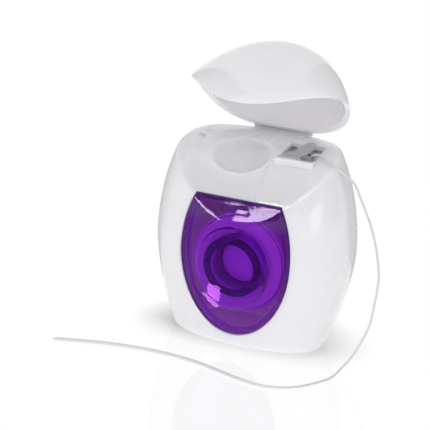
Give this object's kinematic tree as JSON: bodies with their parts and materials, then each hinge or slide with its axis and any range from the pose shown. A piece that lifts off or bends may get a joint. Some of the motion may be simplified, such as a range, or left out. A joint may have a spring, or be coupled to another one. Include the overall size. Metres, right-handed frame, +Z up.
{
  "type": "dental floss dispenser",
  "caption": "Standing barrel-shaped floss dispenser with tinted front window, hinged flip cap standing open, steel cutter clip, wound spool and a free floss end.",
  "frame": {"origin": "Centre of the flat base of the case, on the surface it stands on.", "axes": "+X to the right seen from the front, -Y is the front with the window, +Z up."},
  "size_m": [0.0801, 0.0528, 0.0777],
  "materials": {
    "case_white": "gloss",
    "cap_white": "gloss",
    "hinge_web": "satin",
    "window_purple": "gloss",
    "clip_steel": "satin",
    "core_plastic": "satin",
    "floss_white": "waxed"
  },
  "bodies": {
    "case": {"body_shell": "case_white", "window_cover": "window_purple", "hinge_strap": "hinge_web", "cutter_clip": "clip_steel", "floss_lead": "floss_white", "floss_tail": "floss_white"},
    "cap": {"lid_shell": "cap_white"},
    "spool": {"spool_core": "core_plastic", "floss_pack": "floss_white", "floss_winding": "floss_white"}
  },
  "joints": [
    {"name": "lid_hinge", "type": "hinge", "parent": "case", "child": "cap", "pos_m": [0, 0.01488, 0.0533], "axis": [-1, 0, 0], "range_deg": [-57, 65], "deforming": ["floss_tail"]},
    {"name": "spool_spin", "type": "hinge", "parent": "case", "child": "spool", "pos_m": [0, 0, 0.0232], "axis": [0, -1, 0], "continuous": true}
  ]
}
